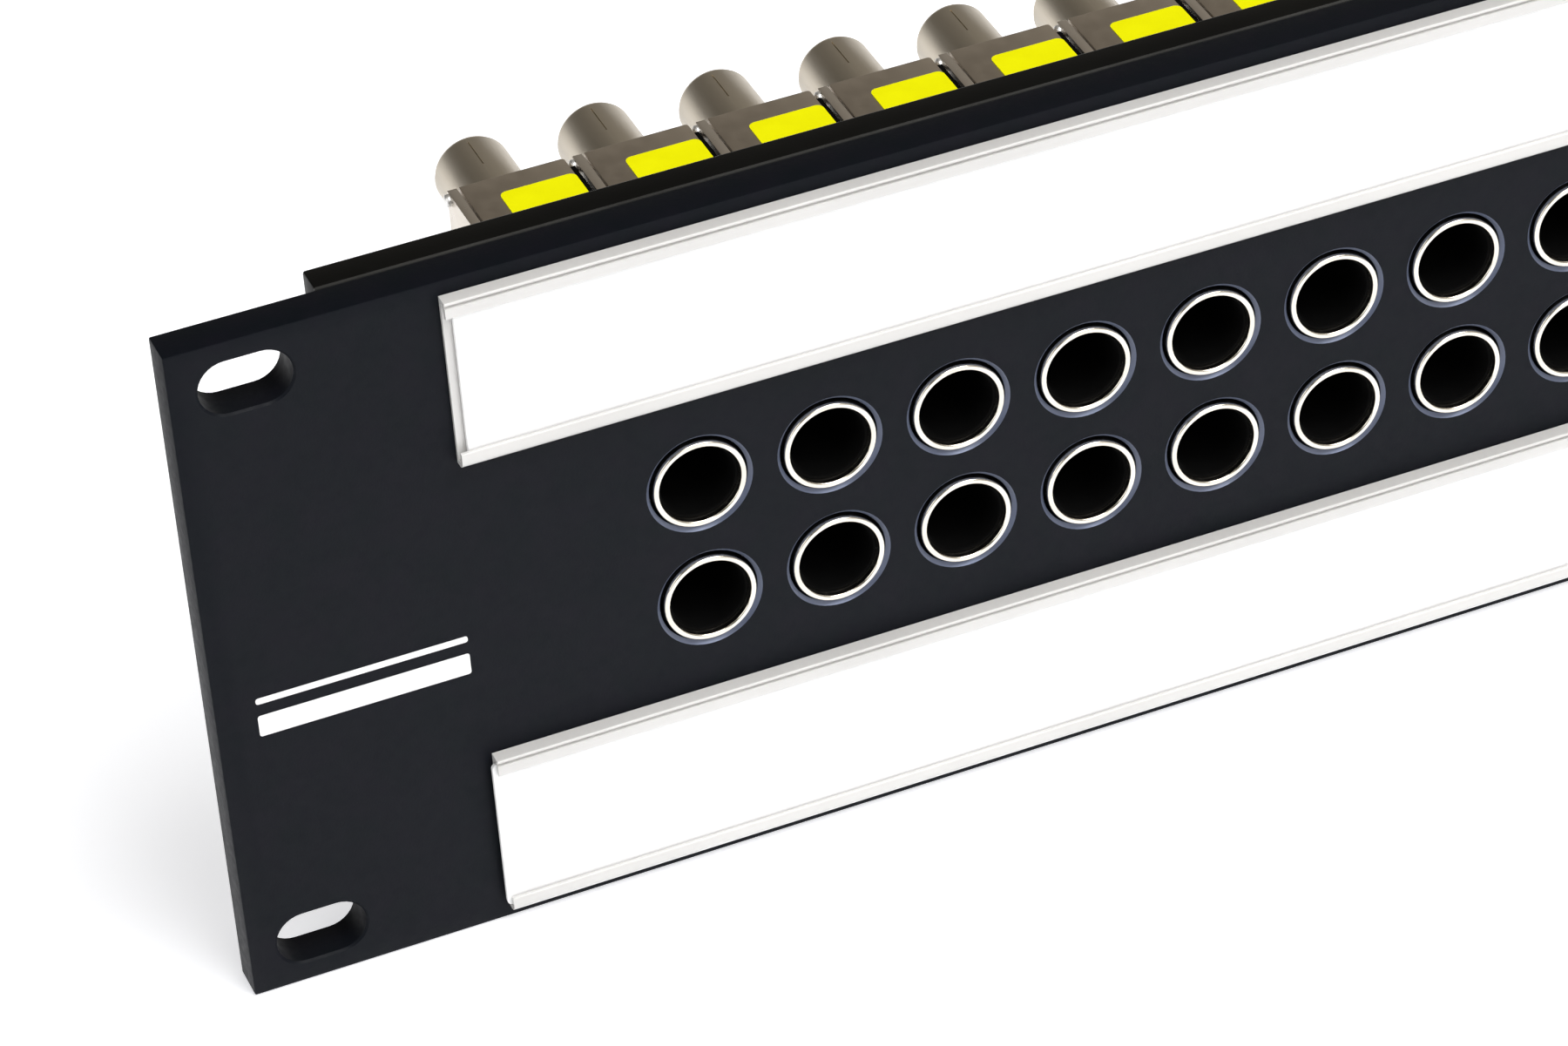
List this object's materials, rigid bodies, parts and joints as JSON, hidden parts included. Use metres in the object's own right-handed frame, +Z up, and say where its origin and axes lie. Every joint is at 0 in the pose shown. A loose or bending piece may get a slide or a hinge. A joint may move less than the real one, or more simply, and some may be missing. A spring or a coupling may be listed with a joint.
{
  "type": "rack patch bay",
  "caption": "2U rack patch bay with two rows of coaxial jack ports in a black panel, white designation strips above and below, and round sockets on the rear of each jack.",
  "frame": {"origin": "middle of the panel's bottom edge: X centred, Y at mid thickness of the panel, Z at the bottom edge", "axes": "+X along the panel to the right seen from the front, +Y from the front face to the rear, +Z up"},
  "size_m": [0.4826, 0.0768, 0.0881],
  "materials": {
    "panel": "matte black anodised",
    "frame": "matte black",
    "screw": "zinc plated",
    "holder": "clear plastic",
    "card": "white card",
    "housing": "satin nickel on a zinc casting",
    "contact": "spring brass"
  },
  "bodies": {
    "bay": {"front_panel": "panel", "rear_frame": "frame", "frame_screw_upper_1": "screw", "frame_screw_lower_1": "screw", "frame_screw_upper_2": "screw", "frame_screw_lower_2": "screw", "frame_screw_upper_3": "screw", "frame_screw_lower_3": "screw", "upper_strip_holder": "holder", "lower_strip_holder": "holder", "jack_housing_01": "housing", "jack_housing_02": "housing", "jack_housing_03": "housing", "jack_housing_04": "housing", "jack_housing_05": "housing", "jack_housing_06": "housing", "jack_housing_07": "housing", "jack_housing_08": "housing", "jack_housing_09": "housing", "jack_housing_10": "housing", "jack_housing_11": "housing", "jack_housing_12": "housing", "jack_housing_13": "housing", "jack_housing_14": "housing", "jack_housing_15": "housing", "jack_housing_16": "housing", "jack_housing_17": "housing", "jack_housing_18": "housing", "jack_housing_19": "housing", "jack_housing_20": "housing", "jack_housing_21": "housing", "jack_housing_22": "housing", "jack_housing_23": "housing", "jack_housing_24": "housing"},
    "upper_card": {"upper_designation_card": "card"},
    "lower_card": {"lower_designation_card": "card"},
    "bridge_01": {"switch_bridge_01": "contact"},
    "bridge_02": {"switch_bridge_02": "contact"},
    "bridge_03": {"switch_bridge_03": "contact"},
    "bridge_04": {"switch_bridge_04": "contact"},
    "bridge_05": {"switch_bridge_05": "contact"},
    "bridge_06": {"switch_bridge_06": "contact"},
    "bridge_07": {"switch_bridge_07": "contact"},
    "bridge_08": {"switch_bridge_08": "contact"},
    "bridge_09": {"switch_bridge_09": "contact"},
    "bridge_10": {"switch_bridge_10": "contact"},
    "bridge_11": {"switch_bridge_11": "contact"},
    "bridge_12": {"switch_bridge_12": "contact"},
    "bridge_13": {"switch_bridge_13": "contact"},
    "bridge_14": {"switch_bridge_14": "contact"},
    "bridge_15": {"switch_bridge_15": "contact"},
    "bridge_16": {"switch_bridge_16": "contact"},
    "bridge_17": {"switch_bridge_17": "contact"},
    "bridge_18": {"switch_bridge_18": "contact"},
    "bridge_19": {"switch_bridge_19": "contact"},
    "bridge_20": {"switch_bridge_20": "contact"},
    "bridge_21": {"switch_bridge_21": "contact"},
    "bridge_22": {"switch_bridge_22": "contact"},
    "bridge_23": {"switch_bridge_23": "contact"},
    "bridge_24": {"switch_bridge_24": "contact"}
  },
  "joints": [
    {"name": "upper_card_slide", "type": "slide", "parent": "bay", "child": "upper_card", "axis": [1, 0, 0], "range_m": [-0.36, 0.36]},
    {"name": "lower_card_slide", "type": "slide", "parent": "bay", "child": "lower_card", "axis": [1, 0, 0], "range_m": [-0.36, 0.36]},
    {"name": "switch_01_push", "type": "slide", "parent": "bay", "child": "bridge_01", "axis": [0, 1, 0], "range_m": [0, 0.002], "stiffness_N_per_m": 400},
    {"name": "switch_02_push", "type": "slide", "parent": "bay", "child": "bridge_02", "axis": [0, 1, 0], "range_m": [0, 0.002], "stiffness_N_per_m": 400},
    {"name": "switch_03_push", "type": "slide", "parent": "bay", "child": "bridge_03", "axis": [0, 1, 0], "range_m": [0, 0.002], "stiffness_N_per_m": 400},
    {"name": "switch_04_push", "type": "slide", "parent": "bay", "child": "bridge_04", "axis": [0, 1, 0], "range_m": [0, 0.002], "stiffness_N_per_m": 400},
    {"name": "switch_05_push", "type": "slide", "parent": "bay", "child": "bridge_05", "axis": [0, 1, 0], "range_m": [0, 0.002], "stiffness_N_per_m": 400},
    {"name": "switch_06_push", "type": "slide", "parent": "bay", "child": "bridge_06", "axis": [0, 1, 0], "range_m": [0, 0.002], "stiffness_N_per_m": 400},
    {"name": "switch_07_push", "type": "slide", "parent": "bay", "child": "bridge_07", "axis": [0, 1, 0], "range_m": [0, 0.002], "stiffness_N_per_m": 400},
    {"name": "switch_08_push", "type": "slide", "parent": "bay", "child": "bridge_08", "axis": [0, 1, 0], "range_m": [0, 0.002], "stiffness_N_per_m": 400},
    {"name": "switch_09_push", "type": "slide", "parent": "bay", "child": "bridge_09", "axis": [0, 1, 0], "range_m": [0, 0.002], "stiffness_N_per_m": 400},
    {"name": "switch_10_push", "type": "slide", "parent": "bay", "child": "bridge_10", "axis": [0, 1, 0], "range_m": [0, 0.002], "stiffness_N_per_m": 400},
    {"name": "switch_11_push", "type": "slide", "parent": "bay", "child": "bridge_11", "axis": [0, 1, 0], "range_m": [0, 0.002], "stiffness_N_per_m": 400},
    {"name": "switch_12_push", "type": "slide", "parent": "bay", "child": "bridge_12", "axis": [0, 1, 0], "range_m": [0, 0.002], "stiffness_N_per_m": 400},
    {"name": "switch_13_push", "type": "slide", "parent": "bay", "child": "bridge_13", "axis": [0, 1, 0], "range_m": [0, 0.002], "stiffness_N_per_m": 400},
    {"name": "switch_14_push", "type": "slide", "parent": "bay", "child": "bridge_14", "axis": [0, 1, 0], "range_m": [0, 0.002], "stiffness_N_per_m": 400},
    {"name": "switch_15_push", "type": "slide", "parent": "bay", "child": "bridge_15", "axis": [0, 1, 0], "range_m": [0, 0.002], "stiffness_N_per_m": 400},
    {"name": "switch_16_push", "type": "slide", "parent": "bay", "child": "bridge_16", "axis": [0, 1, 0], "range_m": [0, 0.002], "stiffness_N_per_m": 400},
    {"name": "switch_17_push", "type": "slide", "parent": "bay", "child": "bridge_17", "axis": [0, 1, 0], "range_m": [0, 0.002], "stiffness_N_per_m": 400},
    {"name": "switch_18_push", "type": "slide", "parent": "bay", "child": "bridge_18", "axis": [0, 1, 0], "range_m": [0, 0.002], "stiffness_N_per_m": 400},
    {"name": "switch_19_push", "type": "slide", "parent": "bay", "child": "bridge_19", "axis": [0, 1, 0], "range_m": [0, 0.002], "stiffness_N_per_m": 400},
    {"name": "switch_20_push", "type": "slide", "parent": "bay", "child": "bridge_20", "axis": [0, 1, 0], "range_m": [0, 0.002], "stiffness_N_per_m": 400},
    {"name": "switch_21_push", "type": "slide", "parent": "bay", "child": "bridge_21", "axis": [0, 1, 0], "range_m": [0, 0.002], "stiffness_N_per_m": 400},
    {"name": "switch_22_push", "type": "slide", "parent": "bay", "child": "bridge_22", "axis": [0, 1, 0], "range_m": [0, 0.002], "stiffness_N_per_m": 400},
    {"name": "switch_23_push", "type": "slide", "parent": "bay", "child": "bridge_23", "axis": [0, 1, 0], "range_m": [0, 0.002], "stiffness_N_per_m": 400},
    {"name": "switch_24_push", "type": "slide", "parent": "bay", "child": "bridge_24", "axis": [0, 1, 0], "range_m": [0, 0.002], "stiffness_N_per_m": 400}
  ]
}
